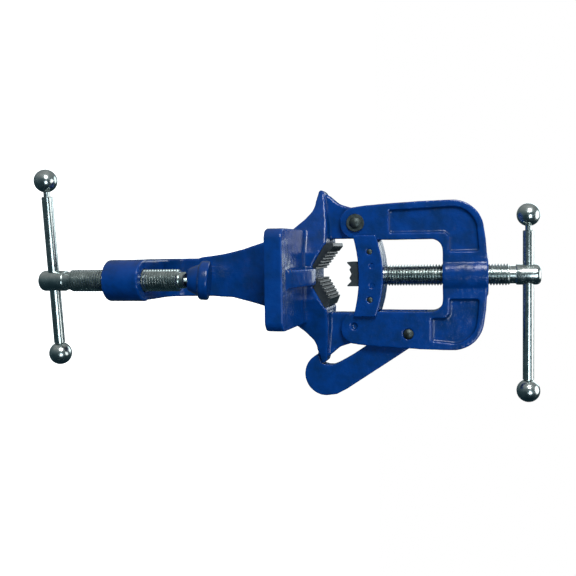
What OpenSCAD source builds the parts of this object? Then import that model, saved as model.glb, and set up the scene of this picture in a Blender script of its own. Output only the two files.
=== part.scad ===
// Portable yoke pipe vise that clamps to the edge of a bench.
// Origin: where the clamp screw's axis meets the bench face (the plate's underside).
// +Z is up in use, -Y is the open side of the clamp, the yoke's hinge is at -X, its hook at +X.

/* [Clamp] */
// Distance from the clamp screw's axis back to the main screw's axis
axis_offset = 90; // [84:1:110]
// Clear height of the clamp's mouth, from the boss to the bench face
mouth_h = 110; // [100:1:145]
// Length of the clamp screw's threaded boss
clamp_boss_h = 33.5; // [26:1:42]
// Outer diameter of the clamp screw's boss
clamp_boss_d = 36; // [32:1:42]
// Depth of the spine, front to back
spine_depth = 28; // [22:1:34]
// Width of the spine below the bench
spine_w = 35; // [30:1:44]
// Width of the clamp plate
plate_w = 84; // [66:1:92]
// Thickness of the clamp plate
plate_t = 15; // [10:1:18]
// How far the plate reaches in front of the clamp screw's axis
plate_front = 16; // [12:1:24]
// Width of the gusset rib on the plate
gusset_w = 15; // [8:1:20]

/* [Screws] */
// Major diameter of both screws
screw_d = 19.05; // [15.5:0.05:20]
// Thread pitch of both screws
screw_pitch = 2.54; // [2:0.01:3]
// Diameter of the screw heads
head_d = 18; // [16:0.5:22]
// Length of the main screw's head
main_head_h = 21; // [18:1:26]
// Length of the clamp screw's head
clamp_head_h = 24.5; // [20:1:30]
// Length of the main screw above the yoke's boss, up to its head
main_screw_rise = 23; // [14:1:40]
// Length of the clamp screw below its boss, down to its head
clamp_screw_drop = 42; // [24:1:60]
// Length of the clamp screw above its boss, up to the pad's ball
clamp_screw_reach = 49.5; // [40:1:70]

/* [T-bars] */
// Diameter of the sliding bars
bar_d = 9.5; // [7.5:0.5:11]
// Distance between the ball centres on a bar
bar_l = 153; // [120:1:180]
// Diameter of the bar balls
ball_d = 20; // [16:0.5:24]
// How far the main bar is slid towards +X
main_bar_shift = 25; // [-50:1:50]
// How far the clamp bar is slid towards +X
clamp_bar_shift = -11; // [-50:1:50]
// How far the clamp bar is turned about its screw, in degrees
clamp_bar_turn = 6; // [-20:1:20]

/* [Pad] */
// Diameter of the pad's face
pad_d = 33; // [28:1:38]
// Height of the pad, its mouth to its face
pad_h = 18; // [16:1:22]
// Tilt of the pad on its ball towards +X, in degrees
pad_tilt = 5; // [0:1:7]
// Tilt of the pad on its ball towards the spine, in degrees
pad_lean = 13; // [0:1:13]

/* [Saddle] */
// Depth of the saddle, along the pipe
saddle_depth = 56; // [48:1:64]
// Width of the saddle's front face
saddle_w = 117; // [112:1:130]
// Height of the saddle's top edge over the bench face
saddle_top = 34.5; // [33:0.5:40]
// Reach of the hook lugs, tip to tip
lug_span = 160; // [150:1:164]
// Length of the lower jaws, along the pipe
jaw_l = 50; // [36:1:56]
// Slope of the jaw seats, in degrees
seat_slope = 30; // [24:1:34]

/* [Yoke] */
// Width of the yoke's window
window_w = 64; // [58:1:70]
// Height of the window's top over the bench face
window_top = 136; // [120:1:160]
// Width of each arm at its foot
arm_w = 31; // [26:1:34]
// Thickness of the yoke, front to back
yoke_t = 28; // [24:1:34]
// Height of the crossbar over the window
crossbar_h = 37; // [30:1:46]
// Depth of the recesses in the yoke's faces
recess_depth = 3; // [2:0.5:5]
// Outer diameter of the yoke's threaded boss
yoke_boss_d = 36; // [31:1:40]
// Height of the hinge pin over the bench face
hinge_z = 59.5; // [56:0.5:64]
// Thickness of the base's ears between the cheeks
ear_t = 14; // [10:1:16]
// Diameter of the hinge pin
hinge_pin_d = 10; // [8:0.5:12]
// Outer diameter of the hinge washers
washer_d = 16; // [14:0.5:20]
// Thickness of the hinge washers
washer_t = 2; // [1.5:0.5:3]

/* [Hook] */
// Height of the hook's pin over the bench face
hook_pin_z = 106; // [102:1:112]
// Place of the hook's pin from the main screw's axis
hook_pin_x = 52; // [48:1:54]
// Diameter of the hook's pin
hook_pin_d = 9; // [7:0.5:11]
// Width of the hook's arm
hook_arm_w = 23; // [19:1:25]
// Thickness of the hook
hook_t = 13; // [9:0.5:13]

/* [Carriage] */
// Height of the carriage's top over the bench face, at its middle
carriage_top = 84.5; // [80:0.5:100]
// Height of the carriage at its middle
carriage_h = 22; // [20:0.5:28]
// Rise of the carriage's arch, from its ends to its middle
carriage_arch = 4; // [2:0.5:6]
// How far the guide plates lap over the yoke's arms
guide_lap = 4.5; // [3:0.5:8]
// Thickness of the guide plates
guide_t = 4; // [3:0.5:6]
// Width of the upper jaw
upper_jaw_w = 22; // [16:1:24]
// Height of the upper jaw below the carriage
upper_jaw_h = 11; // [8:0.5:12]
// Diameter of the guide plates' rivets
rivet_d = 5; // [4:0.5:6]

/* [Hidden] */

$fn = 64;
eps = 0.01;            // overlap that keeps cuts clean
run = 0.06;            // radial clearance of a running fit
gap = 0.3;             // clearance beside a sliding or swinging face

// shared places
main_y = axis_offset;
pin_x = (window_w + arm_w) / 2;
cheek_gap = ear_t + 2 * gap;
cheek_r = arm_w / 2 - 1;
ear_r = cheek_r - 0.5;
screw_r = screw_d / 2;
screw_bore_r = screw_r + run;
head_r = head_d / 2;
bar_r = bar_d / 2;
ball_r = ball_d / 2;
boss_bottom = -mouth_h - clamp_boss_h;
spine_back = main_y - 2;
spine_front = spine_back - spine_depth;
saddle_front = main_y - saddle_depth / 2;

// jaw seats: how far from the middle they start and end, and the height they start at
seat_in = 9;
seat_out = 28;
seat_low = 22;

// reach of the blank lug at -X
blank_lug = lug_span / 2 - 2;

// yoke outline
arm_out = window_w / 2 + arm_w;
shoulder_x = arm_out + 3;
yoke_top = window_top + crossbar_h;
cheek_top = hinge_z + 27;
hook_slot_top = hook_pin_z + hook_arm_w / 2 + 4;
window_corner_r = 10;
yoke_corner_r = 27.5;
rim_w = 6;

// screws
main_boss_top = yoke_top + 2;
main_head_z = main_boss_top + main_screw_rise;
main_bar_z = main_head_z + main_head_h / 2;
clamp_head_z = boss_bottom - clamp_screw_drop;
clamp_bar_z = clamp_head_z - clamp_head_h / 2;
relief_h = 5;
relief_r = screw_r - 0.65 * screw_pitch;

// main screw's nose in the carriage
nose_r = screw_r - 1;
nose_groove_r = nose_r - 1.7;
retaining_pin_r = 2;
retaining_pin_x = nose_groove_r + retaining_pin_r + run;
carriage_bottom = carriage_top - carriage_h;
retaining_pin_z = carriage_bottom + 12;
thrust_disc_t = 2;
thrust_disc_z = carriage_bottom + 6.5;
nose_z = thrust_disc_z + thrust_disc_t;

// clamp screw's nose and pad
thrust_ball_r = 4;
thrust_ball_z = -mouth_h + clamp_screw_reach;
button_r = 6.4;
button_top = thrust_ball_z - 2.3;
button_h = 3.5;
stem_r = 2.8;
neck_r = 7;
neck_h = 5;
pad_mouth_z = thrust_ball_z - 9.8;
neck_top = pad_mouth_z - 2.5;

// bars: the turned neck before each ball and the spigot it stands on
spigot_r = 2.8;
neck_gap = 3.5;

// carriage
carriage_w = window_w - 2 * gap;
tenon_w = 14;
tenon_head_w = 19;
tenon_neck_h = 2;
tenon_h = 5;
rivet_x = window_w / 2 - 10.5;
rivet_z = carriage_bottom + 10;

// hook: its bearing face is an arc about its own pin, so it swings clear of the lug
bearing_r = hook_pin_z - 21;
bend_x = hook_pin_x + 39;
bend_z = hook_pin_z - 76.5;
bend_r = 20;

function hypot(a, b) = sqrt(a * a + b * b);
function arc(cx, cz, r, a0, a1, n) =
    [for (i = [0 : n]) [cx + r * cos(a0 + (a1 - a0) * i / n), cz + r * sin(a0 + (a1 - a0) * i / n)]];
function mirrored(points) = [for (i = [len(points) - 1 : -1 : 0]) [-points[i][0], points[i][1]]];

// a front-view (X, Z) shape, t thick and centred on the plane at y
module slab(y, t) {
    translate([0, y + t / 2, 0])
        rotate([90, 0, 0])
            linear_extrude(height = t)
                children();
}

// a side-view (Y, Z) shape, w wide and centred on x
module side_slab(x, w) {
    translate([x - w / 2, 0, 0])
        rotate([90, 0, 90])
            linear_extrude(height = w)
                children();
}

// a cylinder along Y, centred on the plane at y
module y_rod(x, y, z, r, l) {
    translate([x, y, z])
        rotate([90, 0, 0])
            cylinder(r = r, h = l, center = true);
}

module x_rod(x0, x1, r) {
    translate([x0, 0, 0])
        rotate([0, 90, 0])
            cylinder(r = r, h = x1 - x0);
}

// ---- base casting ----

// the C of the clamp: boss arm, spine and the root of the saddle
module spine_outline() {
    inner_r = 16;
    outer_r = 24;
    polygon(concat(
        [[0, boss_bottom]],
        arc(spine_back - outer_r, boss_bottom + outer_r, outer_r, -90, 0, 8),
        [[spine_back, plate_t - 2], [spine_front, plate_t - 2], [spine_front, 0]],
        arc(spine_front - inner_r, -mouth_h + inner_r, inner_r, 0, -90, 8),
        [[0, -mouth_h]]));
}

// the hollow in each side of the spine, between its flanges
module spine_hollow() {
    flange = 8;
    corner_r = 5;
    polygon(concat(
        arc(spine_front + flange + corner_r, boss_bottom + flange + corner_r, corner_r, 180, 270, 4),
        arc(spine_back - flange - corner_r, boss_bottom + flange + corner_r, corner_r, -90, 0, 4),
        [[spine_back - flange, -18], [spine_front + flange, -18]]));
}

// the spine widens into the plate
module spine_flare() {
    w = spine_w / 2;
    flare_w = plate_w / 2 - 8;
    left = [[flare_w, 4], [flare_w, -14], [w + 13, -26], [w + 8, -42], [w + 4, -60], [w + 1, -84]];
    right = [[flare_w, 4], [flare_w, -8], [w + 9, -22], [w + 5, -36], [w + 1, -52], [w, -72]];
    slab(spine_front + spine_depth / 2, spine_depth)
        polygon(concat(mirrored(left), right));
}

module plate_outline() {
    corner_r = 9;
    x = plate_w / 2 - corner_r;
    polygon(concat(
        arc(-x, -plate_front + corner_r, corner_r, 180, 270, 6),
        arc(x, -plate_front + corner_r, corner_r, -90, 0, 6),
        [[plate_w / 2, spine_back], [-plate_w / 2, spine_back]]));
}

// half of the saddle's front view, out to the tip of its lug
function wing(tip) =
    let (lug_r = bearing_r - 0.5,
         a0 = asin((saddle_w / 2 + 5 - hook_pin_x) / lug_r),
         a1 = asin((tip - hook_pin_x) / lug_r),
         tip_z = hook_pin_z - lug_r * cos(a1))
    concat([[plate_w / 2 + 1, 3], [plate_w / 2 + 9, 13], [saddle_w / 2, 20]],
           arc(hook_pin_x, hook_pin_z, lug_r, a0 - 90, a1 - 90, 5),
           [[tip + 0.6, tip_z + 2], [tip - 2, tip_z + 5], [plate_w / 2 + 4, saddle_top],
            [seat_out + 1, saddle_top], seat_point(1, 1), seat_point(1, 0)]);

module saddle_outline() {
    polygon(concat(mirrored(wing(blank_lug)), wing(lug_span / 2)));
}

// the saddle's top view: deepest at its middle and as thin as an ear at its lugs
module saddle_plan() {
    mid = saddle_depth / 2;
    thin = ear_t / 2 + 0.3;
    x = lug_span / 2 + 4;
    translate([0, main_y])
        polygon([[-x, -thin], [-20, -mid], [20, -mid], [x, -thin],
                 [x, thin], [20, mid], [-20, mid], [-x, thin]]);
}

module saddle() {
    intersection() {
        slab(main_y, saddle_depth + 2)
            saddle_outline();
        linear_extrude(height = saddle_top + 5)
            saddle_plan();
    }
}

// the ends of a jaw's seat: 0 is the inner and lower one, 1 the outer one
function seat_z(x) = seat_low + (x - seat_in) * tan(seat_slope);
function seat_point(side, end) =
    let (x = end == 0 ? seat_in : seat_out) [side * x, seat_z(x)];

// an ear round a pin, with the web that runs out over its lug, for the +X side
module ear_outline() {
    out = pin_x + ear_r;
    polygon(concat(
        [[pin_x - ear_r, 20], [out, 24], [blank_lug - 6, 30], [blank_lug - 4, 33], [out + 8, 38],
         [out + 4, 43], [out + 0.5, hinge_z - 6]],
        arc(pin_x, hinge_z, ear_r, -8, 180, 20)));
}

module ear(side) {
    mirror([side < 0 ? 1 : 0, 0, 0])
            slab(main_y, ear_t)
                ear_outline();
}

module gusset() {
    side_slab(0, gusset_w)
        polygon([[-plate_front + 6, plate_t - 1], [saddle_front + 2, plate_t - 1],
                 [saddle_front + 2, 26], [saddle_front - 10, 25]]);
}

module base_frame() {
    color([0.03, 0.2, 0.45])
    difference() {
        union() {
            difference() {
                side_slab(0, spine_w)
                    spine_outline();
                for (side = [-1, 1])
                    side_slab(side * (spine_w / 2), 20)
                        spine_hollow();
            }
            spine_flare();
            translate([0, 0, boss_bottom])
                cylinder(d = clamp_boss_d, h = clamp_boss_h);
            linear_extrude(height = plate_t)
                plate_outline();
            gusset();
            saddle();
            ear(-1);
            ear(1);
        }
        translate([0, 0, boss_bottom - eps])
            cylinder(r = screw_bore_r, h = clamp_boss_h + 2 * eps);
        y_rod(-pin_x, main_y, hinge_z, hinge_pin_d / 2, ear_t + 1);
        for (side = [-1, 1])
            jaw_dowel_rods(side);
    }
}

// ---- lower jaws ----

// The teeth stand on the sloped face. The left jaw is the higher one.
module lower_jaw_outline(side) {
    face = side < 0 ? [[6.5, 25.5], [22.9, 38], [27, 41.3], [30, 40.6]]
                    : [[1.8, 27.5], [19.7, 38], [27, 35]];
    inner = side < 0 ? 6.5 : 1.8;
    foot = [[seat_in, seat_z(seat_in)], [inner, seat_z(seat_in) + 1]];
    polygon([for (p = concat([[seat_out, seat_z(seat_out)]], foot, face)) [side * p[0], p[1]]]);
}

module lower_jaw(side) {
    color([0.2, 0.2, 0.22])
    difference() {
        slab(main_y, jaw_l)
            lower_jaw_outline(side);
        jaw_dowel_rods(side);
    }
}

module lower_jaw_left() { lower_jaw(-1); }
module lower_jaw_right() { lower_jaw(1); }

// two dowels hold each jaw on its seat
module jaw_dowel_rods(side) {
    for (y = [-1, 1])
        translate([side * 18, main_y + y * jaw_l * 0.3, seat_z(18) - 8])
            cylinder(d = 6, h = 11.5);
}

module left_jaw_dowels() { color([0.6, 0.6, 0.6]) jaw_dowel_rods(-1); }
module right_jaw_dowels() { color([0.6, 0.6, 0.6]) jaw_dowel_rods(1); }

// ---- hinge ----

module hinge_pin() {
    pin_l = yoke_t + 2 * washer_t;
    color([0.7, 0.72, 0.7])
    translate([-pin_x, main_y, hinge_z])
        rotate([90, 0, 0]) {
            cylinder(r = hinge_pin_d / 2, h = pin_l, center = true);
            for (side = [-1, 1])
                intersection() {
                    translate([0, 0, side * (pin_l / 2 - 4)])
                        sphere(r = hypot(hinge_pin_d / 2, 4));
                    translate([0, 0, side * (pin_l / 2 + 1.5 - eps)])
                        cylinder(r = hinge_pin_d / 2, h = 3, center = true);
                }
        }
}

module hinge_washer(side) {
    color([0.35, 0.35, 0.3])
    difference() {
        y_rod(-pin_x, main_y + side * (yoke_t + washer_t) / 2, hinge_z, washer_d / 2, washer_t);
        y_rod(-pin_x, main_y, hinge_z, hinge_pin_d / 2, yoke_t + 4 * washer_t);
    }
}

module hinge_washer_front() { hinge_washer(-1); }
module hinge_washer_rear() { hinge_washer(1); }

// ---- yoke ----

module yoke_outline() {
    half = concat(
        arc(pin_x, hinge_z, cheek_r, -180, 0, 16),
        [[arm_out, hinge_z + 8], [arm_out + 1.2, hinge_z + 26], [shoulder_x - 0.5, window_top - 20],
         [shoulder_x, window_top + 2]],
        arc(shoulder_x - yoke_corner_r, yoke_top - yoke_corner_r - 1.5, yoke_corner_r, 6, 84, 12),
        [[30, yoke_top], [16, yoke_top + 1]]);
    left = mirrored(half);
    difference() {
        polygon(concat(left, [[-window_w / 2, hinge_z], [-window_w / 2, hinge_z + 4]],
                       [[window_w / 2, hinge_z + 4], [window_w / 2, hinge_z]], half));
        window_outline();
    }
}

module window_outline() {
    x = window_w / 2;
    r = window_corner_r;
    polygon(concat(
        arc(x - r, window_top - r, r, 0, 90, 6),
        arc(-x + r, window_top - r, r, 90, 180, 6),
        [[-x, hinge_z - 30], [x, hinge_z - 30]]));
}

// a face recess inside the rims of one arm and its share of the crossbar
module recess_outline(side, start_z) {
    x_in = window_w / 2 + rim_w;
    x_out = shoulder_x - rim_w;
    boss_edge = yoke_boss_d / 2 + 3;
    r = yoke_corner_r - rim_w;
    half = concat(
        [[x_in, start_z], [x_out - 2, start_z]],
        arc(shoulder_x - yoke_corner_r, yoke_top - yoke_corner_r - 1.5, r, 6, 84, 10),
        [[boss_edge, yoke_top - rim_w], [boss_edge, window_top + rim_w],
         [x_in - 4, window_top + rim_w], [x_in, window_top + 2]]);
    polygon([for (p = half) [side * p[0], p[1]]]);
}

module yoke() {
    face_y = yoke_t / 2 - recess_depth / 2;
    color([0.03, 0.2, 0.45])
    difference() {
        union() {
            difference() {
                slab(main_y, yoke_t)
                    yoke_outline();
                for (face = [-1, 1])
                    slab(main_y + face * (face_y + eps), recess_depth + 2 * eps) {
                        recess_outline(-1, cheek_top + 3);
                        recess_outline(1, hook_slot_top + 5);
                    }
            }
            translate([0, main_y, window_top])
                cylinder(d = yoke_boss_d, h = main_boss_top - window_top);
        }
        translate([0, main_y, window_top - 1])
            cylinder(r = screw_bore_r, h = main_boss_top - window_top + 2);
        y_rod(-pin_x, main_y, hinge_z, hinge_pin_d / 2 + run, yoke_t + 1);
        y_rod(hook_pin_x, main_y, hook_pin_z, hook_pin_d / 2, yoke_t + 1);
        slab(main_y, cheek_gap)
            polygon([[-shoulder_x - 4, hinge_z - 40], [-window_w / 2 + 1, hinge_z - 40],
                     [-window_w / 2 + 1, cheek_top], [-shoulder_x - 4, cheek_top]]);
        slab(main_y, cheek_gap)
            polygon([[shoulder_x + 4, hinge_z - 40], [window_w / 2 - 1, hinge_z - 40],
                     [window_w / 2 - 1, hook_slot_top], [shoulder_x + 4, hook_slot_top]]);
        y_rod(pin_x - 2, main_y - yoke_t / 2, hinge_z - 2, 3, 5);
    }
}

module hook_pin() {
    color([0.5, 0.52, 0.5])
    union() {
        y_rod(hook_pin_x, main_y, hook_pin_z, hook_pin_d / 2, yoke_t);
        for (side = [-1, 1])
            intersection() {
                translate([hook_pin_x, main_y + side * (yoke_t / 2 - 4), hook_pin_z])
                    sphere(r = hypot(hook_pin_d / 2, 4));
                y_rod(hook_pin_x, main_y + side * (yoke_t / 2 + 1.5 - eps), hook_pin_z, hook_pin_d / 2, 3);
            }
    }
}

// ---- hook ----

module hook_outline() {
    tip_dx = 19;
    tip_a = asin(tip_dx / bearing_r);
    root_a = asin((lug_span / 2 + 0.8 - hook_pin_x) / bearing_r);
    lug_x = lug_span / 2 + 2.3;
    polygon(concat(
        [[hook_pin_x + tip_dx - 0.5, hook_pin_z - bearing_r * cos(tip_a) - 1]],
        arc(bend_x, bend_z, bend_r, -158, 0, 20),
        [[bend_x + bend_r - 1.5, bend_z + 10], [bend_x + bend_r - 7, bend_z + 20]],
        arc(hook_pin_x, hook_pin_z, hook_arm_w / 2, 34, 214, 14),
        [[hook_pin_x + 22, hook_pin_z - 54], [lug_x - 1.5, hook_pin_z - 66], [lug_x, hook_pin_z - 70],
         [lug_x, hook_pin_z - 75]],
        arc(hook_pin_x, hook_pin_z, bearing_r, -90 + root_a, -90 + tip_a, 6)));
}

module latch_hook() {
    color([0.03, 0.2, 0.45])
    difference() {
        slab(main_y, hook_t)
            hook_outline();
        y_rod(hook_pin_x, main_y, hook_pin_z, hook_pin_d / 2 + run, hook_t + 1);
    }
}

// ---- carriage ----

// front view of the crosspiece, w wide, with an arched top and bottom
module carriage_outline(w) {
    n = 10;
    bottom = [for (i = [0 : n]) let (x = -w / 2 + w * i / n)
              [x, carriage_bottom - carriage_arch * pow(2 * x / window_w, 2)]];
    top = [for (i = [n : -1 : 0]) let (x = -w / 2 + w * i / n)
           [x, carriage_top - (carriage_arch + 1.2) * pow(2 * x / window_w, 2)]];
    polygon(concat(bottom, top));
}

// the T-shaped tenon that the upper jaw hangs from, c larger all round for its slot
module tenon_outline(c) {
    translate([-tenon_w / 2 - c, carriage_bottom - 2])
        square([tenon_w + 2 * c, tenon_h + 2]);
    translate([-tenon_head_w / 2 - c, carriage_bottom + tenon_neck_h - c])
        square([tenon_head_w + 2 * c, tenon_h - tenon_neck_h + 2 * c]);
}

module cross_rods(extra) {
    l = yoke_t + 2 * gap + 2 * guide_t + extra;
    for (side = [-1, 1]) {
        y_rod(side * rivet_x, main_y, rivet_z, rivet_d / 2, l);
    }
}

module retaining_rods(extra) {
    l = yoke_t + 2 * gap + 2 * guide_t + extra;
    for (side = [-1, 1]) {
        y_rod(side * retaining_pin_x, main_y, retaining_pin_z, retaining_pin_r, l);
    }
}

module jaw_carriage() {
    color([0.03, 0.22, 0.5])
    difference() {
        slab(main_y, yoke_t + 2 * gap)
            carriage_outline(carriage_w);
        slab(main_y, yoke_t + 2)
            tenon_outline(0.1);
        translate([0, main_y, thrust_disc_z])
            cylinder(r = nose_r + run, h = carriage_h);
        cross_rods(1);
        retaining_rods(1);
    }
}

module guide_plate(side) {
    color([0.03, 0.22, 0.5])
    difference() {
        slab(main_y + side * (yoke_t / 2 + gap + guide_t / 2), guide_t)
            carriage_outline(window_w + 2 * guide_lap);
        cross_rods(1);
        retaining_rods(1);
    }
}

module guide_plate_front() { guide_plate(-1); }
module guide_plate_rear() { guide_plate(1); }
module guide_plate_rivets() { color([0.6, 0.6, 0.6]) cross_rods(-0.6); }
module screw_retaining_pins() { color([0.6, 0.6, 0.6]) retaining_rods(-1); }

module thrust_disc() {
    color([0.5, 0.5, 0.5])
    translate([0, main_y, thrust_disc_z])
        cylinder(r = nose_r - 0.2, h = thrust_disc_t - 0.05);
}

// toothed nose on a T-shaped tenon, set a little towards -X
module upper_jaw_outline() {
    w = upper_jaw_w / 2;
    top = carriage_bottom - 0.8;
    tip = carriage_bottom - upper_jaw_h;
    translate([-1.6, 0])
        polygon([[-w, top], [-w, tip + 0.4], [-w + 0.8, tip], [-0.58 * w, tip + 3.6],
                 [-0.36 * w, tip + 2.2], [-0.03 * w, tip + 4], [0.33 * w, tip + 2.1],
                 [0.58 * w, tip + 3.8], [w - 0.8, tip], [w, tip + 0.4], [w, top]]);
    tenon_outline(0);
}

module upper_jaw() {
    color([0.2, 0.2, 0.22])
    slab(main_y, yoke_t + 2 * gap - 0.2)
        upper_jaw_outline();
}

// ---- screws ----

// a screw head with a rounded end, its cross bore along X at z = bore_z; it points up
module screw_head(h, bore_z) {
    round_r = 4;
    difference() {
        rotate_extrude()
            polygon(concat([[0, 0], [head_r, 0]],
                           arc(head_r - round_r, h - round_r, round_r, 0, 90, 8),
                           [[0, h]]));
        translate([0, 0, bore_z])
            x_rod(-head_r - 2, head_r + 2, bar_r + 0.15);
    }
}

module main_screw() {
    color([0.75, 0.77, 0.75])
    translate([0, main_y, 0]) {
        difference() {
            translate([0, 0, nose_z])
                cylinder(r = nose_r, h = carriage_top + 2 - nose_z);
            translate([0, 0, retaining_pin_z - retaining_pin_r - 0.3])
                difference() {
                    cylinder(r = nose_r + 1, h = 2 * retaining_pin_r + 0.6);
                    cylinder(r = nose_groove_r, h = 2 * retaining_pin_r + 0.6);
                }
        }
        translate([0, 0, carriage_top + 1])
            cylinder(r = screw_r, h = main_head_z - relief_h - carriage_top - 1);
        translate([0, 0, main_head_z - relief_h - eps])
            cylinder(r = relief_r, h = relief_h + 2 * eps);
        translate([0, 0, main_head_z])
            screw_head(main_head_h, main_bar_z - main_head_z);
    }
}

module clamp_screw() {
    color([0.75, 0.77, 0.75])
    difference() {
        union() {
            translate([0, 0, clamp_head_z])
                mirror([0, 0, 1])
                    rotate([0, 0, clamp_bar_turn])
                        screw_head(clamp_head_h, clamp_head_z - clamp_bar_z);
            translate([0, 0, clamp_head_z - eps])
                cylinder(r = relief_r, h = relief_h + 2 * eps);
            translate([0, 0, clamp_head_z + relief_h])
                cylinder(r = screw_r, h = neck_top - neck_h - clamp_head_z - relief_h);
            translate([0, 0, neck_top - neck_h - eps])
                cylinder(r = neck_r, h = neck_h + eps);
            translate([0, 0, neck_top - eps])
                cylinder(r = stem_r, h = button_top - neck_top);
            translate([0, 0, button_top - button_h])
                cylinder(r = button_r, h = button_h);
        }
        translate([0, 0, thrust_ball_z])
            sphere(r = thrust_ball_r + run);
    }
}

// ---- sliding bars ----

// a bar along X centred on the origin; its left end shows a turned neck before its ball
module bar() {
    union() {
        x_rod(-bar_l / 2 + ball_r + neck_gap - 0.5, bar_l / 2 - ball_r + 0.5, bar_r);
        x_rod(-bar_l / 2 - 4, -bar_l / 2 + ball_r + neck_gap, spigot_r);
        x_rod(bar_l / 2 - ball_r, bar_l / 2 + 4, spigot_r);
    }
}

// a ball drilled for the bar's spigot, with a flat where the bar's shoulder meets it
module bar_ball(side) {
    flat_x = ball_r - 0.5;
    mirror([side < 0 ? 1 : 0, 0, 0])
        difference() {
            translate([bar_l / 2, 0, 0])
                sphere(r = ball_r);
            translate([bar_l / 2 - ball_r - 1, -ball_r, -ball_r])
                cube([1.5, 2 * ball_r, 2 * ball_r]);
            x_rod(bar_l / 2 - flat_x - 1, bar_l / 2 + 4, spigot_r);
        }
}

module at_main_bar() {
    translate([main_bar_shift, main_y, main_bar_z])
        children();
}

module at_clamp_bar() {
    rotate([0, 0, clamp_bar_turn])
        translate([clamp_bar_shift, 0, clamp_bar_z])
            children();
}

module main_bar() { color([0.8, 0.82, 0.8]) at_main_bar() bar(); }
module main_ball_left() { color([0.8, 0.82, 0.8]) at_main_bar() bar_ball(-1); }
module main_ball_right() { color([0.8, 0.82, 0.8]) at_main_bar() bar_ball(1); }
module clamp_bar() { color([0.8, 0.82, 0.8]) at_clamp_bar() bar(); }
module clamp_ball_left() { color([0.8, 0.82, 0.8]) at_clamp_bar() bar_ball(-1); }
module clamp_ball_right() { color([0.8, 0.82, 0.8]) at_clamp_bar() bar_ball(1); }

// ---- pad ----

module thrust_ball() {
    color([0.6, 0.6, 0.6])
    translate([0, 0, thrust_ball_z])
        sphere(r = thrust_ball_r);
}

module clamp_pad() {
    flange_h = 8;
    mouth_r = 5.8;
    lip_h = 2.2;
    cavity_r = 8;
    color([0.03, 0.2, 0.45])
    translate([0, 0, thrust_ball_z])
        rotate([-pad_lean, pad_tilt, 0])
            translate([0, 0, pad_mouth_z - thrust_ball_z])
                difference() {
                    rotate_extrude()
                        polygon([[0, 0], [9.3, 0], [pad_d / 2 - 3, pad_h - flange_h - 1],
                                 [pad_d / 2 - 1, pad_h - flange_h], [pad_d / 2, pad_h - flange_h + 1.5],
                                 [pad_d / 2, pad_h - 1], [pad_d / 2 - 1, pad_h], [0, pad_h]]);
                    translate([0, 0, -eps])
                        cylinder(r = mouth_r, h = lip_h + 1);
                    translate([0, 0, lip_h])
                        cylinder(r = cavity_r, h = thrust_ball_z - pad_mouth_z - lip_h);
                    translate([0, 0, thrust_ball_z - pad_mouth_z])
                        sphere(r = thrust_ball_r + run);
                }
}

base_frame();
lower_jaw_left();
lower_jaw_right();
left_jaw_dowels();
right_jaw_dowels();
hinge_pin();
hinge_washer_front();
hinge_washer_rear();
yoke();
hook_pin();
latch_hook();
jaw_carriage();
guide_plate_front();
guide_plate_rear();
guide_plate_rivets();
screw_retaining_pins();
thrust_disc();
upper_jaw();
main_screw();
main_bar();
main_ball_left();
main_ball_right();
clamp_screw();
clamp_bar();
clamp_ball_left();
clamp_ball_right();
thrust_ball();
clamp_pad();
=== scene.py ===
"""A portable yoke pipe vise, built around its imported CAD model."""

import math

import bpy
from mathutils import Matrix, Quaternion, Vector


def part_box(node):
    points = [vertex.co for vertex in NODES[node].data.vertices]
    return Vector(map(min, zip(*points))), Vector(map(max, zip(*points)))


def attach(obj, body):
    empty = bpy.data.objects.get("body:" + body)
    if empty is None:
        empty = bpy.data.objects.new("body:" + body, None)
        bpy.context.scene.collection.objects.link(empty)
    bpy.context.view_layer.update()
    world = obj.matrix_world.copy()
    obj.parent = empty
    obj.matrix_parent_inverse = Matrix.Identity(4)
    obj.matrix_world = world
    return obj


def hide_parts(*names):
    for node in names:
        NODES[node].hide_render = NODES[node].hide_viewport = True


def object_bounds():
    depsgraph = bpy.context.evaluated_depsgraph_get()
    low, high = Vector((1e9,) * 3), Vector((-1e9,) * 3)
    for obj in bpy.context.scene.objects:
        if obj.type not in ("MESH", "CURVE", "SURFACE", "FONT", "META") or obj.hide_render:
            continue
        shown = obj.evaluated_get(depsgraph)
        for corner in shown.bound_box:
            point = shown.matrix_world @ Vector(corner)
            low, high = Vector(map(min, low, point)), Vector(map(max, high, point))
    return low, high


bl_info = {
    "name": "Yoke Pipe Vise",
    "version": (1, 0, 0),
    "blender": (4, 5, 0),
    "location": "View3D > Sidebar > Pipe Vise",
    "description": "Models a bench-edge yoke pipe vise around its CAD frame",
    "category": "Object",
}

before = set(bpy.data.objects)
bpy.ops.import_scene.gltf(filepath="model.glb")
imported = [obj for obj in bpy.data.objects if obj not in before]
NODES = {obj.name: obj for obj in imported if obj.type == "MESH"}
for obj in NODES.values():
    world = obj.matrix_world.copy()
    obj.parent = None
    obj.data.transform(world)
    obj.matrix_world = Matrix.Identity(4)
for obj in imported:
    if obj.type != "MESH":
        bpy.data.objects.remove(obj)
CAD_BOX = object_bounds()
MM = 0.001
UP = Vector((0, 0, 1))


def middle(node):
    """The middle of a CAD node's box."""
    low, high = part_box(node)
    return (low + high) / 2


def span(node):
    """The size of a CAD node's box."""
    low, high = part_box(node)
    return high - low


# The axes that the turned parts stand on, taken from the frame.
MAIN_AXIS = middle("main_screw")
MAIN_BAR = middle("main_ball_left").z
CLAMP_BAR = middle("clamp_ball_left").z


# ---- sizes and colours a user would change ----

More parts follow.
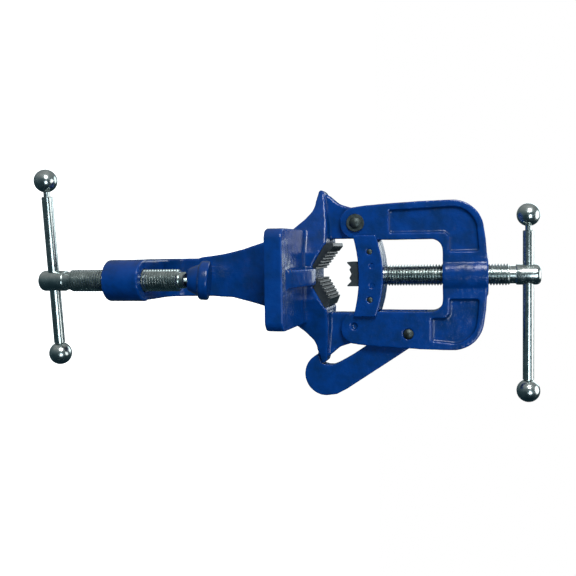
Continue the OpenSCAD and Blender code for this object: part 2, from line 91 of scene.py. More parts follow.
class PV_CastingSizes(bpy.types.PropertyGroup):
    """Sizes of the sand-cast skin."""

    base_grain: bpy.props.FloatProperty(
        name="Base grain", description="Voxel of the base casting's skin",
        default=1.05 * MM, unit="LENGTH")
    yoke_grain: bpy.props.FloatProperty(
        name="Yoke grain", description="Voxel of the yoke casting's skin",
        default=0.85 * MM, unit="LENGTH")
    small_grain: bpy.props.FloatProperty(
        name="Small casting grain", description="Voxel of the hook's, carriage's and pad's skin",
        default=0.6 * MM, unit="LENGTH")
    ripple: bpy.props.FloatProperty(
        name="Ripple", description="Depth of the waves that the sand leaves in a face",
        default=0.35 * MM, unit="LENGTH")


class PV_ThreadSizes(bpy.types.PropertyGroup):
    """Sizes of the screw threads and of the jaw teeth."""

    pitch: bpy.props.FloatProperty(
        name="Pitch", description="Distance from one thread crest to the next",
        default=2.54 * MM, unit="LENGTH")
    depth: bpy.props.FloatProperty(
        name="Depth", description="Depth of the thread from its crest to its root",
        default=1.55 * MM, unit="LENGTH")
    tooth_depth: bpy.props.FloatProperty(
        name="Jaw tooth depth", description="Depth of the grooves between the jaw teeth",
        default=1.4 * MM, unit="LENGTH")
    notch_pitch: bpy.props.FloatProperty(
        name="Jaw notch pitch", description="Distance between the grooves that cross the teeth",
        default=6.2 * MM, unit="LENGTH")


class PV_Colours(bpy.types.PropertyGroup):
    """Colours of the finishes, in sRGB hex."""

    enamel: bpy.props.StringProperty(
        name="Enamel", description="Blue enamel on the castings", default="03387F")
    # the darker enamel colour: random dark patches, and painted shade in the hollows
    enamel_dark_tone_and_painted_shade: bpy.props.StringProperty(
        name="Enamel, thick", description="Enamel where it has pooled in the hollows",
        default="052C56")
    plate: bpy.props.StringProperty(
        name="Plate", description="Bright plate on the screws and bars", default="C6CFCD")
    oxide: bpy.props.StringProperty(
        name="Black oxide", description="Oxide film on the jaws", default="1E2429")
    steel: bpy.props.StringProperty(
        name="Bare steel", description="Bare steel of the pins", default="A7ADAB")
    oil: bpy.props.StringProperty(
        name="Oiled steel", description="Oiled washers", default="56605F")


# ---- materials ----

def linear(hex_colour):
    """An sRGB hex colour as the linear colour that a shader takes."""
    parts = [int(hex_colour[i:i + 2], 16) / 255 for i in (0, 2, 4)]
    return [p / 12.92 if p <= 0.04045 else ((p + 0.055) / 1.055) ** 2.4 for p in parts] + [1.0]


def add_node(tree, kind, settings=None, links=None, **places):
    """Adds a shader node, sets its properties and sockets, and links its inputs."""
    node = tree.nodes.new(kind)
    for name, value in places.items():
        setattr(node, name, value)
    for name, value in (settings or {}).items():
        node.inputs[name].default_value = value
    for name, output in (links or {}).items():
        tree.links.new(output, node.inputs[name])
    return node


def new_material(name):
    """A material with a Principled shader, and its tree, shader and Object coordinates."""
    mat = bpy.data.materials.new(name)
    mat.use_nodes = True
    tree = mat.node_tree
    shader = tree.nodes["Principled BSDF"]
    place = add_node(tree, "ShaderNodeTexCoord").outputs["Object"]
    return mat, tree, shader, place


def per_mm(size):
    """The noise scale that gives lumps of this many millimetres."""
    return 1 / (size * MM)


def ramp_of(tree, source, stops):
    """A colour ramp with the given (place, hex colour) stops."""
    ramp = add_node(tree, "ShaderNodeValToRGB", links={"Fac": source})
    band = ramp.color_ramp
    band.elements[0].position, band.elements[0].color = stops[0][0], linear(stops[0][1])
    band.elements[1].position, band.elements[1].color = stops[-1][0], linear(stops[-1][1])
    for at, colour in stops[1:-1]:
        band.elements.new(at).color = linear(colour)
    return ramp.outputs["Color"]


def enamel_material():
    """Gloss enamel brushed over rough sand-cast iron.

    The sand leaves lumps of 2 to 6 mm and a grain of under 1 mm, and the enamel rounds them off.
    Its colour varies at random, with painted shade in the hollows and a painted highlight on the
    crests, and its gloss breaks up on the grain.
    """
    colours = bpy.context.scene.pv_colours
    mat, tree, shader, place = new_material("blue_enamel_on_sand_cast_iron")
    clouds = add_node(tree, "ShaderNodeTexNoise",
                      {"Scale": per_mm(14), "Detail": 3.0, "Roughness": 0.55}, {"Vector": place})
    lumps = add_node(tree, "ShaderNodeTexNoise",
                     {"Scale": per_mm(4.2), "Detail": 2.5, "Roughness": 0.55}, {"Vector": place})
    grain = add_node(tree, "ShaderNodeTexNoise",
                     {"Scale": per_mm(1.1), "Detail": 2.0, "Roughness": 0.6}, {"Vector": place})
    crest = add_node(tree, "ShaderNodeNewGeometry").outputs["Pointiness"]
    tone = add_node(tree, "ShaderNodeMapRange",
                    {"From Min": 0.3, "From Max": 0.7, "To Min": 0.25, "To Max": 1.0},
                    {"Value": clouds.outputs["Fac"]})
    # pointiness: darker in the hollows as painted shade, lighter on the crests as a painted
    # highlight
    edge = add_node(tree, "ShaderNodeMapRange",
                    {"From Min": 0.46, "From Max": 0.53, "To Min": 0.35, "To Max": 1.0},
                    {"Value": crest})
    tone_and_painted_light = add_node(tree, "ShaderNodeMath", links={0: tone.outputs[0], 1: edge.outputs[0]},
                    operation="MULTIPLY")
    # the darkest stop is random dark patches and painted shade in the hollows; the lightest stop,
    # 06418C, is a painted highlight on the crests
    colour = ramp_of(tree, tone_and_painted_light.outputs[0],
                     [(0.0, colours.enamel_dark_tone_and_painted_shade), (0.55, colours.enamel), (1.0, "06418C")])
    tree.links.new(colour, shader.inputs["Base Color"])
    gloss = add_node(tree, "ShaderNodeMapRange",
                     {"From Min": 0.35, "From Max": 0.7, "To Min": 0.14, "To Max": 0.26},
                     {"Value": grain.outputs["Fac"]})
    tree.links.new(gloss.outputs[0], shader.inputs["Roughness"])
    shader.inputs["IOR"].default_value = 1.36
    shader.inputs["Coat Weight"].default_value = 0.15
    shader.inputs["Coat Roughness"].default_value = 0.08
    low = add_node(tree, "ShaderNodeBump", {"Strength": 0.4, "Distance": 0.7 * MM},
                   {"Height": lumps.outputs["Fac"]})
    fine = add_node(tree, "ShaderNodeBump", {"Strength": 0.4, "Distance": 0.2 * MM},
                    {"Height": grain.outputs["Fac"], "Normal": low.outputs["Normal"]})
    tree.links.new(fine.outputs["Normal"], shader.inputs["Normal"])
    return mat


def turned_material(name, base, axis, rough=(0.16, 0.3), lines=0.5):
    """Steel turned on a lathe: rings of tool marks round its axis, and a few handling scuffs.

    The marks are 0.1 mm apart on the real part; they are drawn 0.5 mm apart so that they show.
    """
    mat, tree, shader, place = new_material(name)
    stretch = [1 / (60 * MM)] * 3
    stretch["xyz".index(axis)] = per_mm(lines)
    rings_at = add_node(tree, "ShaderNodeMapping", {"Scale": stretch}, {"Vector": place})
    rings = add_node(tree, "ShaderNodeTexNoise", {"Scale": 1.0, "Detail": 3.0, "Roughness": 0.7},
                     {"Vector": rings_at.outputs[0]})
    scuffs = add_node(tree, "ShaderNodeTexNoise",
                      {"Scale": per_mm(5), "Detail": 5.0, "Roughness": 0.6}, {"Vector": place})
    tint = ramp_of(tree, scuffs.outputs["Fac"], base)
    tree.links.new(tint, shader.inputs["Base Color"])
    shader.inputs["Metallic"].default_value = 1.0
    both = add_node(tree, "ShaderNodeMath", links={0: rings.outputs["Fac"],
                                                   1: scuffs.outputs["Fac"]}, operation="MULTIPLY")
    gloss = add_node(tree, "ShaderNodeMapRange",
                     {"From Min": 0.12, "From Max": 0.4, "To Min": rough[0], "To Max": rough[1]},
                     {"Value": both.outputs[0]})
    tree.links.new(gloss.outputs[0], shader.inputs["Roughness"])
    bump = add_node(tree, "ShaderNodeBump", {"Strength": 0.25, "Distance": 0.06 * MM},
                    {"Height": rings.outputs["Fac"]})
    tree.links.new(bump.outputs["Normal"], shader.inputs["Normal"])
    return mat


def oxide_material():
    """Hardened steel blacked in an oxide bath, worn to bare metal along the tooth crests."""
    colours = bpy.context.scene.pv_colours
    mat, tree, shader, place = new_material("black_oxide_jaw_steel")
    grain = add_node(tree, "ShaderNodeTexNoise",
                     {"Scale": per_mm(1.4), "Detail": 4.0, "Roughness": 0.6}, {"Vector": place})
    crest = add_node(tree, "ShaderNodeNewGeometry").outputs["Pointiness"]
    worn = add_node(tree, "ShaderNodeMath", {1: 0.12}, {0: grain.outputs["Fac"]},
                    operation="MULTIPLY")
    total = add_node(tree, "ShaderNodeMath", links={0: crest, 1: worn.outputs[0]}, operation="ADD")
    colour = ramp_of(tree, total.outputs[0],
                     [(0.5, "0A0D10"), (0.58, colours.oxide), (0.7, "343C40")])
    tree.links.new(colour, shader.inputs["Base Color"])
    shader.inputs["Metallic"].default_value = 0.25
    gloss = add_node(tree, "ShaderNodeMapRange",
                     {"From Min": 0.3, "From Max": 0.7, "To Min": 0.3, "To Max": 0.5},
                     {"Value": grain.outputs["Fac"]})
    tree.links.new(gloss.outputs[0], shader.inputs["Roughness"])
    bump = add_node(tree, "ShaderNodeBump", {"Strength": 0.35, "Distance": 0.12 * MM},
                    {"Height": grain.outputs["Fac"]})
    tree.links.new(bump.outputs["Normal"], shader.inputs["Normal"])
    return mat


def make_materials():
    """Every finish, made once."""
    colours = bpy.context.scene.pv_colours
    plate = [(0.3, "A9B5B4"), (0.6, colours.plate), (0.8, "D5DBD6")]
    steel = [(0.3, "8B9190"), (0.7, colours.steel)]
    oil = [(0.35, "3C4343"), (0.7, colours.oil)]
    enamel_material()
    oxide_material()
    turned_material("bright_plate_turned_round_z", plate, "z")
    turned_material("bright_plate_turned_round_x", plate, "x")
    turned_material("bare_steel_upright", steel, "z", (0.22, 0.38))
    turned_material("oiled_steel_washer", oil, "y", (0.4, 0.6))


# ---- modelling helpers ----

def only(obj):
    """Selects one object alone and makes it active."""
    bpy.ops.object.select_all(action="DESELECT")
    obj.select_set(True)
    bpy.context.view_layer.objects.active = obj


def in_edit(obj):
    """Opens an object in edit mode with everything selected."""
    only(obj)
    bpy.ops.object.mode_set(mode="EDIT")
    bpy.ops.mesh.select_all(action="SELECT")


def out_of_edit():
    bpy.ops.object.mode_set(mode="OBJECT")


def drawn(name, points, closed=False):
    """A line, or a filled outline, drawn by extruding one vertex from point to point."""
    bpy.ops.object.select_all(action="DESELECT")
    bpy.ops.mesh.primitive_plane_add(size=1.0)
    obj = bpy.context.object
    obj.name = obj.data.name = name
    in_edit(obj)
    bpy.ops.mesh.merge(type="CENTER")
    bpy.ops.transform.translate(value=points[0])
    for here, there in zip(points, points[1:]):
        step = [b - a for a, b in zip(here, there)]
        bpy.ops.mesh.extrude_region_move(TRANSFORM_OT_translate={"value": step})
    if closed:
        bpy.ops.mesh.select_all(action="SELECT")
        bpy.ops.mesh.edge_face_add()
    out_of_edit()
    return obj


def tidy_shell(obj, merge=0.002 * MM):
    """Merges doubles and turns every face outwards."""
    in_edit(obj)
    bpy.ops.mesh.remove_doubles(threshold=merge)
    bpy.ops.mesh.normals_make_consistent(inside=False)
    out_of_edit()


def smooth(obj, angle=30):
    only(obj)
    bpy.ops.object.shade_smooth_by_angle(angle=math.radians(angle))


def apply_modifier(obj, kind, **settings):
    """Adds one modifier and applies it."""
    only(obj)
    mod = obj.modifiers.new(kind.lower(), kind)
    for name, value in settings.items():
        setattr(mod, name, value)
    bpy.ops.object.modifier_apply(modifier=mod.name)


def placed(obj, place=(0, 0, 0), turn=None):
    """Moves an object and leaves its place in its mesh."""
    only(obj)
    obj.matrix_world = Matrix.LocRotScale(Vector(place), turn or Quaternion(), None)
    bpy.ops.object.transform_apply(location=True, rotation=True, scale=True)
    return obj


def turned(name, profile, steps=64):
    """A part turned round Z from (radius, height) points."""
    obj = drawn(name, [(r, 0, z) for r, z in profile])
    in_edit(obj)
    bpy.ops.mesh.spin(steps=steps, angle=2 * math.pi, center=(0, 0, 0), axis=(0, 0, 1))
    out_of_edit()
    tidy_shell(obj)
    return obj


def arc(cx, cz, r, start, end, n):
    """Points on an arc, angles in degrees."""
    turns = [math.radians(start + (end - start) * i / n) for i in range(n + 1)]
    return [(cx + r * math.cos(t), cz + r * math.sin(t)) for t in turns]


def carve(obj, cutter, operation="DIFFERENCE"):
    """Cuts one closed shape with another, which is then deleted."""
    apply_modifier(obj, "BOOLEAN", object=cutter, operation=operation, solver="EXACT")
    bpy.data.objects.remove(cutter)


def joined(name, parts):
    """Several objects as one."""
    bpy.ops.object.select_all(action="DESELECT")
    for part in parts:
        part.select_set(True)
    bpy.context.view_layer.objects.active = parts[0]
    bpy.ops.object.join()
    parts[0].name = parts[0].data.name = name
    return parts[0]


def cad_copy(name, *nodes):
    """A closed copy of CAD nodes, to be worked on."""
    copies = []
    for node in nodes:
        copy = bpy.data.objects.new(name, NODES[node].data.copy())
        bpy.context.scene.collection.objects.link(copy)
        in_edit(copy)
        bpy.ops.mesh.remove_doubles(threshold=0.001 * MM)
        out_of_edit()
        copies.append(copy)
    return joined(name, copies) if len(copies) > 1 else copies[0]


def dress(obj, material, body, slot, *nodes):
    """Gives a finished piece its material and its body, and hides the CAD nodes that it stands
    for; its slot argument is not used.
    """
    obj.data.materials.clear()
    obj.data.materials.append(bpy.data.materials[material])
    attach(obj, body)
    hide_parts(*nodes)
    return obj


# ---- castings ----

def cast(obj, grain, rounding=6, ripple=1.0):
    """Gives a sharp shape a sand casting's skin: soft edges and a slightly wavy surface."""
    apply_modifier(obj, "REMESH", mode="VOXEL", voxel_size=grain, adaptivity=0.0)
    apply_modifier(obj, "SMOOTH", factor=0.5, iterations=rounding)
    waves = bpy.data.textures.new("sand_waves", "CLOUDS")
    waves.noise_scale = 7 * MM
    waves.noise_depth = 3
    depth = bpy.context.scene.pv_castings.ripple * ripple
    apply_modifier(obj, "DISPLACE", texture=waves, texture_coords="LOCAL", strength=depth,
                   mid_level=0.75)
    only(obj)
    bpy.ops.object.shade_smooth()
    return obj


class PV_OT_base_casting(bpy.types.Operator):
    """Model the base: clamp frame, saddle and ears in one casting"""

    bl_idname = "pipe_vise.base_casting"
    bl_label = "Base casting"

    def execute(self, context):
        base = cad_copy("base_casting", "base_frame")
        cast(base, context.scene.pv_castings.base_grain)
        dress(base, "blue_enamel_on_sand_cast_iron", "base", "blue_enamel", "base_frame")
        return {"FINISHED"}


class PV_OT_yoke_casting(bpy.types.Operator):
    """Model the yoke casting"""

    bl_idname = "pipe_vise.yoke_casting"
    bl_label = "Yoke casting"

    def execute(self, context):
        yoke = cad_copy("yoke_casting", "yoke")
        cast(yoke, context.scene.pv_castings.yoke_grain)
        dress(yoke, "blue_enamel_on_sand_cast_iron", "yoke", "blue_enamel", "yoke")
        return {"FINISHED"}


class PV_OT_small_castings(bpy.types.Operator):
    """Model the latch hook, the jaw carriage and the clamp pad"""

    bl_idname = "pipe_vise.small_castings"
    bl_label = "Hook, carriage and pad castings"

    def execute(self, context):
        grain = context.scene.pv_castings.small_grain
        enamel = "blue_enamel_on_sand_cast_iron"
        hook = cad_copy("hook_casting", "latch_hook")
        cast(hook, grain, 8, 0.8)
        dress(hook, enamel, "hook", "blue_enamel", "latch_hook")
        carriage = cad_copy("carriage_casting", "jaw_carriage", "guide_plate_front",
                            "guide_plate_rear")
        cast(carriage, grain, 8, 0.8)
        dress(carriage, enamel, "carriage", "blue_enamel", "jaw_carriage", "guide_plate_front",
              "guide_plate_rear")
        pad = cad_copy("pad_casting", "clamp_pad")
        cast(pad, grain, 5, 0.6)
        dress(pad, enamel, "pad", "blue_enamel", "clamp_pad")
        return {"FINISHED"}


# ---- jaws ----

def face_line(foot, end):
    """The start, the length and the outward direction of a face between two (x, z) points."""
    start, stop = Vector((foot[0], 0, foot[1])), Vector((end[0], 0, end[1]))
    along = stop - start
    out = Vector((-along.z, 0, along.x)).normalized()
    if out.z < 0:
        out.negate()
    return start, along, out


def prism(name, corners, along):
    """A closed outline drawn out along a vector."""
    obj = drawn(name, [tuple(c) for c in corners], closed=True)
    in_edit(obj)
    bpy.ops.mesh.extrude_region_move(TRANSFORM_OT_translate={"value": along})
    out_of_edit()
    tidy_shell(obj)
    return obj


def grooves(foot, end, count, depth, y0, y1):
    """V grooves along Y, side by side from one (x, z) point of a face to another."""
    start, along, out = face_line(foot, end)
    step = along / count
    # the V is a little wider than its share at the top, and has a narrow flat bottom
    over, flat_from, flat_to, lift = 0.06, 0.47, 0.53, out * 1.2 * MM
    cutters = []
    for i in range(count):
        here = start + step * i
        corners = [here - step * over + lift, here + step * flat_from - out * depth,
                   here + step * flat_to - out * depth, here + step * (1 + over) + lift]
        cutters.append(placed(prism("groove", corners, (0, y1 - y0, 0)), (0, y0, 0)))
    return cutters


def cross_grooves(foot, end, depth, y0, y1, pitch):
    """V grooves across a sloping face, side by side along Y."""
    start, along, out = face_line(foot, end)
    overrun = along * 0.1
    wide = Vector((0, pitch * 0.3, 0))
    cutters = []
    for i in range(int((y1 - y0) / pitch)):
        here = start - overrun + Vector((0, y0 + pitch * (i + 0.5), 0))
        corners = [here - wide + out * MM, here - out * depth, here + wide + out * MM]
        cutters.append(prism("notch", corners, along + overrun * 2))
    return cutters


def toothed(jaw, faces, depth, notch_pitch):
    """Cuts crossed teeth into a jaw's faces, each given by its two (x, z) ends and its count."""
    low = min(v.co.y for v in jaw.data.vertices)
    high = max(v.co.y for v in jaw.data.vertices)
    for foot, end, count in faces:
        for cutter in grooves(foot, end, count, depth, low - MM, high + MM):
            carve(jaw, cutter)
        for cutter in cross_grooves(foot, end, depth * 0.7, low, high, notch_pitch):
            carve(jaw, cutter)
    apply_modifier(jaw, "BEVEL", width=0.18 * MM, segments=1, limit_method="ANGLE",
                   angle_limit=math.radians(25))
    tidy_shell(jaw, 0.001 * MM)


class PV_OT_jaws(bpy.types.Operator):
    """Model the three toothed jaws"""

    bl_idname = "pipe_vise.jaws"
    bl_label = "Toothed jaws"

    def execute(self, context):
        sizes = context.scene.pv_threads
        # each toothed face: its two (x, z) ends and its number of teeth
        faces = {
            "lower_jaw_left": (((-6.5 * MM, 25.5 * MM), (-22.9 * MM, 38 * MM), 6),),
            "lower_jaw_right": (((1.8 * MM, 27.5 * MM), (19.7 * MM, 38 * MM), 6),),
        }
        for name, node, body in (("jaw_left", "lower_jaw_left", "base"),
                                 ("jaw_right", "lower_jaw_right", "base"),
                                 ("jaw_upper", "upper_jaw", "carriage")):
            jaw = cad_copy(name, node)
            if node in faces:
                toothed(jaw, faces[node], sizes.tooth_depth, sizes.notch_pitch)
            dress(jaw, "black_oxide_jaw_steel", body, "black_jaw_steel", node)
        return {"FINISHED"}


# ---- pins ----

def pin(name, radius, length, dome, chamfer=0.5 * MM):
    """A peened pin along Y, with a dome on each end."""
    half = length / 2
    end = [(radius, half - chamfer), (radius - chamfer, half)]
    end += [(p, half + dome * (1 - (p / (radius - chamfer)) ** 2))
            for p in [(radius - chamfer) * k for k in (0.85, 0.65, 0.4, 0.2, 0.0)]]
    profile = [(r, -z) for r, z in reversed(end)] + end
    return placed(turned(name, profile, 48), turn=Quaternion((1, 0, 0), math.radians(90)))


class PV_OT_pins(bpy.types.Operator):
    """Model the hinge pin with its washers, the hook's pin and the carriage's rivets"""

    bl_idname = "pipe_vise.pins"
    bl_label = "Pins, rivets and washers"

    def execute(self, context):
        for name, node, body in (("hinge_pin_turned", "hinge_pin", "base"),
                                 ("hook_pin_turned", "hook_pin", "yoke")):
            size = span(node)
            dome = 1.2 * MM
            obj = pin(name, size.x / 2, size.y - 2 * dome, dome)
            placed(obj, middle(node))
            smooth(obj)
            dress(obj, "oiled_steel_washer", body, "plain_steel", node)
        for side in ("front", "rear"):
            node = f"hinge_washer_{side}"
            size = span(node)
            outer, inner, half, edge = size.x / 2, span("hinge_pin").x / 2, size.y / 2, 0.4 * MM
            profile = [(inner, -half), (outer - edge, -half), (outer, -half + edge),
                       (outer, half - edge), (outer - edge, half), (inner, half), (inner, -half)]
            washer = turned(f"washer_{side}", profile, 64)
            placed(washer, turn=Quaternion((1, 0, 0), math.radians(90)))
            placed(washer, middle(node))
            smooth(washer)
            dress(washer, "oiled_steel_washer", "base", "oiled_steel", node)
        enamel = "blue_enamel_on_sand_cast_iron"
        for name, node, finish, dome in (
                ("rivets_turned", "guide_plate_rivets", "oiled_steel_washer", 0.4 * MM),
                ("retaining_pins_turned", "screw_retaining_pins", enamel, 0.0)):
            low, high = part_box(node)
            radius = (high.z - low.z) / 2
            rods = []
            for x in (low.x + radius, high.x - radius):
                rod = pin(name, radius, high.y - low.y - 2 * dome, dome, 0.2 * MM)
                rods.append(placed(rod, (x, (low.y + high.y) / 2, (low.z + high.z) / 2)))
            obj = joined(name, rods)
            smooth(obj)
            dress(obj, finish, "carriage", "plain_steel", node)
        for node in ("left_jaw_dowels", "right_jaw_dowels", "thrust_disc", "thrust_ball"):
            NODES[node].data.materials.clear()
            NODES[node].data.materials.append(bpy.data.materials["bare_steel_upright"])
        return {"FINISHED"}


# ---- screws ----

def thread(name, radius, low, high, chamfer):
    """A right-hand thread between two heights, with chamfered ends."""
    sizes = bpy.context.scene.pv_threads
    p, root = sizes.pitch, radius - sizes.depth
    profile = [(root, 0), (root, 0.08 * p), (radius - 0.1 * MM, 0.43 * p), (radius, 0.47 * p),
               (radius, 0.58 * p), (radius - 0.1 * MM, 0.62 * p), (root, 0.97 * p), (root, p)]
    obj = drawn(name, [(r, 0, z) for r, z in profile])
    turns = math.ceil((high - low) / p) + 3
    apply_modifier(obj, "SCREW", axis="Z", angle=2 * math.pi, screw_offset=p, iterations=turns,
                   steps=48, render_steps=48, use_merge_vertices=True,
                   merge_threshold=0.001 * MM)
    placed(obj, (0, 0, low - 1.5 * p))
    for height, above in ((low - 0.2 * p, False), (high + 0.2 * p, True)):
        in_edit(obj)
        bpy.ops.mesh.bisect(plane_co=(0, 0, height), plane_no=UP, use_fill=True,
                            clear_inner=not above, clear_outer=above)
        out_of_edit()
    tidy_shell(obj, 0.0005 * MM)
    over = radius + 1 * MM
    cut = chamfer + 1 * MM
    body = turned("thread_blank", [(0, low), (over - cut, low), (over, low + cut),
                                   (over, high - cut), (over - cut, high), (0, high)], 48)
    carve(obj, body, "INTERSECT")
    return obj


def screw_head(name, radius, height, bore_r, bore_z):
    """A screw head pointing up from z = 0, with rounded ends and a cross bore along X."""
    top, lip = 4.2 * MM, 1.2 * MM
    profile = [(0, 0), (radius - lip, 0)] + arc(radius - lip, lip, lip, -90, 0, 4)
    profile += arc(radius - top, height - top, top, 0, 75, 8)
    profile += [(radius * 0.42, height - 0.05 * MM), (0, height)]
    head = turned(name, profile, 72)
    bore = turned("cross_bore", [(0, -2 * radius), (bore_r, -2 * radius), (bore_r, 2 * radius),
                                 (0, 2 * radius)], 48)
    placed(bore, (0, 0, bore_z), Quaternion((0, 1, 0), math.radians(90)))
    carve(head, bore)
    return head


class PV_OT_screws(bpy.types.Operator):
    """Model the main screw and the clamp screw, with real threads"""

    bl_idname = "pipe_vise.screws"
    bl_label = "Screws"

    def execute(self, context):
        screw_r = 9.525 * MM
        head_r = 9 * MM
        neck_r = 7.875 * MM
        bore_r = span("main_bar").y / 2 + 0.15 * MM
        low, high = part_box("main_screw")
        head_h = 21 * MM
        relief = 5 * MM
        shoulder = high.z - head_h
        thread_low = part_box("jaw_carriage")[1].z + 1 * MM
        nose_r = screw_r - 1 * MM
        worm = thread("main_thread", screw_r, thread_low, shoulder - relief, 1.4 * MM)
        nose = turned("main_nose", [(0, low.z), (nose_r - 1 * MM, low.z), (nose_r, low.z + 1 * MM),
                                    (nose_r, thread_low + 0.5 * MM), (0, thread_low + 0.5 * MM)])
        groove = middle("screw_retaining_pins").z
        ring = turned("groove", [(6.8 * MM, groove - 2.3 * MM), (nose_r + MM, groove - 2.3 * MM),
                                 (nose_r + MM, groove + 2.3 * MM), (6.8 * MM, groove + 2.3 * MM),
                                 (6.8 * MM, groove - 2.3 * MM)])
        carve(nose, ring)
        neck = turned("main_neck", [(0, shoulder - relief - MM), (neck_r, shoulder - relief - MM),
                                    (neck_r, shoulder + MM), (0, shoulder + MM)])
        head = screw_head("main_head", head_r, head_h, bore_r, MAIN_BAR - shoulder)
        placed(head, (0, 0, shoulder))
        screw = joined("main_screw_turned", [worm, nose, neck, head])
        placed(screw, (MAIN_AXIS.x, MAIN_AXIS.y, 0))
        smooth(screw)
        dress(screw, "bright_plate_turned_round_z", "main_screw", "plated_steel", "main_screw")

        low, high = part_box("clamp_screw")
        head_h = 24.5 * MM
        shoulder = low.z + head_h
        neck_top = middle("thrust_ball").z - 12.3 * MM
        neck_h = 5 * MM
        stem_r, button_r = 2.8 * MM, 6.4 * MM
        worm = thread("clamp_thread", screw_r, shoulder + relief, neck_top - neck_h, 1.4 * MM)
        neck = turned("clamp_neck", [(0, shoulder - MM), (neck_r, shoulder - MM),
                                     (neck_r, shoulder + relief + MM),
                                     (0, shoulder + relief + MM)])
        button_low = high.z - 3.5 * MM
        tip_r = 7 * MM
        # the button's hollow top sits on the thrust ball
        tip = turned("clamp_tip", [(0, neck_top - neck_h - MM), (tip_r, neck_top - neck_h - MM),
                                   (tip_r, neck_top - MM), (tip_r - MM, neck_top),
                                   (stem_r, neck_top), (stem_r, button_low),
                                   (button_r, button_low), (button_r, high.z), (4 * MM, high.z),
                                   (2.5 * MM, high.z - MM), (0, high.z - 1.6 * MM)])
        head = screw_head("clamp_head", head_r, head_h, bore_r, shoulder - CLAMP_BAR)
        placed(head, turn=Quaternion((1, 0, 0), math.pi))
        lean = bar_turn()
        placed(head, (0, 0, shoulder), Quaternion((0, 0, 1), lean))
        screw = joined("clamp_screw_turned", [worm, neck, tip, head])
        smooth(screw)
        dress(screw, "bright_plate_turned_round_z", "clamp_screw", "plated_steel", "clamp_screw")
        return {"FINISHED"}


# ---- sliding bars ----

def bar_turn():
    """How far the clamp bar is turned about its screw."""
    left, right = middle("clamp_ball_left"), middle("clamp_ball_right")
    return math.atan2(right.y - left.y, right.x - left.x)


def bar_and_balls(kind, turn):
    """One sliding bar with its neck, and its two balls."""
    left, right = middle(f"{kind}_ball_left"), middle(f"{kind}_ball_right")
    half = (right - left).length / 2
    centre = (left + right) / 2
    ball_r = 10 * MM
    bar_r, spigot_r, neck = 4.75 * MM, 2.8 * MM, 3.5 * MM
    edge = 0.6 * MM
    lay = Quaternion((0, 1, 0), math.radians(90))
    low, high = -half + ball_r + neck, half - ball_r + 0.5 * MM
    rod = turned(f"{kind}_rod", [(0, -half - 3 * MM), (spigot_r, -half - 3 * MM), (spigot_r, low),
                                 (bar_r - edge, low), (bar_r, low + edge), (bar_r, high - edge),
                                 (bar_r - edge, high), (spigot_r, high), (spigot_r, half + 3 * MM),
                                 (0, half + 3 * MM)], 48)
    balls = []
    for side in (-1, 1):
        flat = math.degrees(math.acos(0.95))
        # the ball's flat faces the bar
        profile = [(ball_r * math.sin(math.radians(a)), side * (half + ball_r * math.cos(
            math.radians(a)))) for a in [i * (180 - flat) / 24 for i in range(25)]]
        profile.append((0, side * (half - 0.95 * ball_r)))
        balls.append(turned(f"{kind}_ball_{'left' if side < 0 else 'right'}_turned", profile, 64))
    for obj in [rod] + balls:
        placed(obj, turn=lay)
        placed(obj, centre, Quaternion((0, 0, 1), turn))
        smooth(obj)
    body = f"{kind}_bar"
    finish = "bright_plate_turned_round_x"
    dress(rod, finish, body, "plated_steel", body)
    for ball, node in zip(balls, (f"{kind}_ball_left", f"{kind}_ball_right")):
        dress(ball, finish, body, "plated_steel", node)


class PV_OT_bars(bpy.types.Operator):
    """Model the two sliding bars and their balls"""

    bl_idname = "pipe_vise.bars"
    bl_label = "Sliding bars"

    def execute(self, context):
        bar_and_balls("main", 0.0)
        bar_and_balls("clamp", bar_turn())
        return {"FINISHED"}


# ---- stage ----

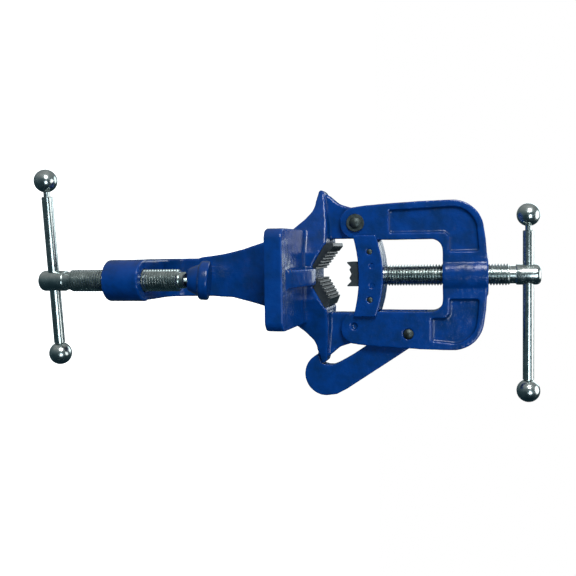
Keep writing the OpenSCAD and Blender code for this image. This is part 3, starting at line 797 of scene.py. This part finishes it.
class PV_OT_stage(bpy.types.Operator):
    """Set the floor, the lights and the camera"""

    bl_idname = "pipe_vise.stage"
    bl_label = "Stage"

    def execute(self, context):
        scene = context.scene
        centre = (CAD_BOX[0] + CAD_BOX[1]) / 2
        floor_z = CAD_BOX[0].z - 0.12
        bpy.ops.object.select_all(action="DESELECT")
        bpy.ops.mesh.primitive_plane_add(size=6.0, location=(centre.x, centre.y, floor_z))
        floor = placed(context.object, context.object.location)
        floor.name = "floor"
        mat, tree, shader, place = new_material("white_paper_sweep")
        mottle = add_node(tree, "ShaderNodeTexNoise", {"Scale": 3.0}, {"Vector": place})
        tree.links.new(ramp_of(tree, mottle.outputs["Fac"], [(0.3, "F4F5F5"), (0.7, "F8F9F9")]),
                       shader.inputs["Base Color"])
        shader.inputs["Roughness"].default_value = 0.9
        shader.inputs["Emission Color"].default_value = (1, 1, 1, 1)
        shader.inputs["Emission Strength"].default_value = 0.9
        floor.visible_diffuse = floor.visible_glossy = False
        floor.data.materials.append(mat)

        lights = (("key", (-0.75, -0.75, 0.35), 0.5, 10, "FFFFFF"),
                  ("fill", (0.3, -1.0, 0.5), 0.5, 4.5, "E4F2FA"),
                  ("top", (0.0, 0.1, 1.0), 0.8, 4, "FFFFFF"),
                  ("back", (-0.3, 0.9, 0.5), 0.8, 4, "EAF4F8"))
        for name, place, size, power, tint in lights:
            lamp = bpy.data.lights.new(name, "AREA")
            lamp.shape = "DISK"
            lamp.size = size
            lamp.energy = power
            lamp.color = linear(tint)[:3]
            obj = bpy.data.objects.new(name, lamp)
            scene.collection.objects.link(obj)
            obj.location = centre + Vector(place)
            obj.rotation_euler = (-Vector(place)).to_track_quat("-Z", "Y").to_euler()

        world = bpy.data.worlds.new("studio")
        world.use_nodes = True
        scene.world = world
        tree = world.node_tree
        room = tree.nodes["Background"]
        room.inputs["Strength"].default_value = 0.42
        way = add_node(tree, "ShaderNodeTexCoord").outputs["Generated"]
        side = add_node(tree, "ShaderNodeSeparateXYZ", links={"Vector": way}).outputs["X"]
        level = add_node(tree, "ShaderNodeMapRange", {"From Min": -1.0}, {"Value": side})
        walls = [(0.0, "FFFFFF"), (0.35, "8FA5AC"), (0.6, "4A6670"), (1.0, "1E3A46")]
        tree.links.new(ramp_of(tree, level.outputs[0], walls), room.inputs["Color"])
        paper = add_node(tree, "ShaderNodeBackground", {"Color": (1, 1, 1, 1)})
        seen = add_node(tree, "ShaderNodeLightPath").outputs["Is Camera Ray"]
        mix = add_node(tree, "ShaderNodeMixShader", links={"Fac": seen, 1: room.outputs[0],
                                                           2: paper.outputs[0]})
        tree.links.new(mix.outputs[0], tree.nodes["World Output"].inputs["Surface"])

        camera = bpy.data.cameras.new("camera")
        camera.lens = 47.5
        camera.clip_start = 0.01
        view = bpy.data.objects.new("camera", camera)
        scene.collection.objects.link(view)
        heading, dip, roll = math.radians(3.0), math.radians(14.37), math.radians(89.89)
        look = Vector((math.sin(heading) * math.cos(dip), math.cos(heading) * math.cos(dip),
                       -math.sin(dip)))
        view.location = (-0.0247, -0.6006, 0.17)
        view.rotation_mode = "QUATERNION"
        view.rotation_quaternion = look.to_track_quat("-Z", "Y") @ Quaternion((0, 0, 1), roll)
        scene.camera = view
        scene.view_settings.view_transform = "Standard"
        return {"FINISHED"}


# ---- panel ----

class PV_PT_panel(bpy.types.Panel):
    """Lists the sizes, the colours and the steps"""

    bl_idname = "PV_PT_panel"
    bl_label = "Pipe Vise"
    bl_space_type = "VIEW_3D"
    bl_region_type = "UI"
    bl_category = "Pipe Vise"

    def draw(self, context):
        layout = self.layout
        for group in (context.scene.pv_castings, context.scene.pv_threads,
                      context.scene.pv_colours):
            for name in group.__annotations__:
                layout.prop(group, name)
        for step in STEPS:
            layout.operator(step.bl_idname)


GROUPS = {"pv_castings": PV_CastingSizes, "pv_threads": PV_ThreadSizes, "pv_colours": PV_Colours}
STEPS = (PV_OT_stage, PV_OT_base_casting, PV_OT_yoke_casting, PV_OT_small_castings, PV_OT_jaws,
         PV_OT_pins, PV_OT_screws, PV_OT_bars)
CLASSES = tuple(GROUPS.values()) + STEPS + (PV_PT_panel,)


def register():
    for cls in CLASSES:
        bpy.utils.register_class(cls)
    for name, group in GROUPS.items():
        setattr(bpy.types.Scene, name, bpy.props.PointerProperty(type=group))


def unregister():
    for name in GROUPS:
        delattr(bpy.types.Scene, name)
    for cls in reversed(CLASSES):
        bpy.utils.unregister_class(cls)


def main():
    """Builds every piece."""
    register()
    make_materials()
    for step in STEPS:
        group, name = step.bl_idname.split(".")
        getattr(getattr(bpy.ops, group), name)()


if __name__ == "__main__":
    main()
